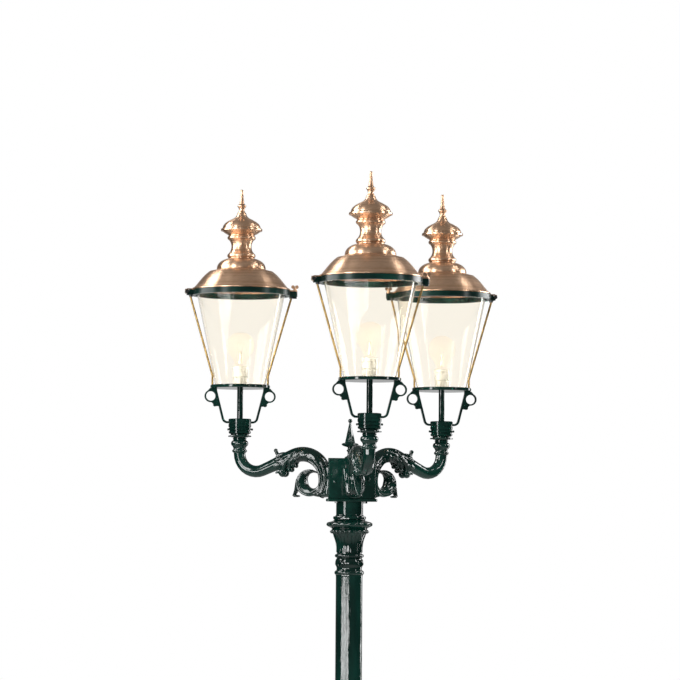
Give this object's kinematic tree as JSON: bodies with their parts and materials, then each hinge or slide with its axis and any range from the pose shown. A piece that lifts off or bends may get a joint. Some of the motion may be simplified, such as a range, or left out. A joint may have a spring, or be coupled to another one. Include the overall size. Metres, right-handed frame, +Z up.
{
  "type": "street lantern post",
  "caption": "Tall post lantern: round glass lanterns with hinged spun hoods on scrolled cast arms from a triangular hub, over a leafy capital and a plain tube post on a bolted flange.",
  "frame": {"origin": "centre of the base flange's underside, on the ground", "axes": "+Z up the post, -Y along the front arm, +X towards the right-hand arm's side"},
  "size_m": [1.0738, 0.9358, 2.7031],
  "materials": {
    "green": "dark green gloss paint on castings",
    "green_tube": "dark green gloss paint on steel tube",
    "copper": "spun copper, satin and lightly browned",
    "brass": "drawn rod, satin",
    "steel": "blackened",
    "glass": "clear, faintly cream",
    "bulb": "clear envelope",
    "porcelain": "glazed white",
    "seal": "matt"
  },
  "bodies": {
    "post": {"base_flange": "green", "shaft": "green_tube", "capital": "green", "hub_plate": "green", "hub": "green", "spire": "green", "plate_screws": "steel", "arm_bolts": "steel", "set_screws": "steel", "stem_nuts": "steel", "rod_nuts": "steel", "hinge_pins": "steel", "arm_left": "green", "arm_front": "green", "arm_right": "green", "socket_left": "green", "brackets_left": "green", "gallery_left": "green", "stem_left": "green_tube", "lampholder_left": "porcelain", "bulb_left": "bulb", "glass_left": "glass", "glass_seal_left": "seal", "rim_ring_left": "green", "tie_rods_left": "brass", "socket_front": "green", "brackets_front": "green", "gallery_front": "green", "stem_front": "green_tube", "lampholder_front": "porcelain", "bulb_front": "bulb", "glass_front": "glass", "glass_seal_front": "seal", "rim_ring_front": "green", "tie_rods_front": "brass", "socket_right": "green", "brackets_right": "green", "gallery_right": "green", "stem_right": "green_tube", "lampholder_right": "porcelain", "bulb_right": "bulb", "glass_right": "glass", "glass_seal_right": "seal", "rim_ring_right": "green", "tie_rods_right": "brass"},
    "hood_left": {"hood_left": "copper", "chimney_left": "copper", "cap_left": "copper", "finial_left": "copper"},
    "hood_front": {"hood_front": "copper", "chimney_front": "copper", "cap_front": "copper", "finial_front": "copper"},
    "hood_right": {"hood_right": "copper", "chimney_right": "copper", "cap_right": "copper", "finial_right": "copper"},
    "thumb_left": {"thumb_screw_left": "copper"},
    "thumb_front": {"thumb_screw_front": "copper"},
    "thumb_right": {"thumb_screw_right": "copper"}
  },
  "joints": [
    {"name": "hood_hinge_left", "type": "hinge", "parent": "post", "child": "hood_left", "pos_m": [-0.53041, 0.2, 2.3518], "axis": [0, -1, 0], "range_deg": [0, 105]},
    {"name": "hood_hinge_front", "type": "hinge", "parent": "post", "child": "hood_front", "pos_m": [-0.184, -0.4, 2.3518], "axis": [0, -1, 0], "range_deg": [0, 105]},
    {"name": "hood_hinge_right", "type": "hinge", "parent": "post", "child": "hood_right", "pos_m": [0.53041, 0.2, 2.3518], "axis": [0, 1, 0], "range_deg": [0, 105]},
    {"name": "thumb_turn_left", "type": "hinge", "parent": "hood_left", "child": "thumb_left", "pos_m": [-0.16241, 0.2, 2.3631], "axis": [0, 0, 1], "continuous": true},
    {"name": "thumb_turn_front", "type": "hinge", "parent": "hood_front", "child": "thumb_front", "pos_m": [0.184, -0.4, 2.3631], "axis": [0, 0, 1], "continuous": true},
    {"name": "thumb_turn_right", "type": "hinge", "parent": "hood_right", "child": "thumb_right", "pos_m": [0.16241, 0.2, 2.3631], "axis": [0, 0, 1], "continuous": true}
  ]
}
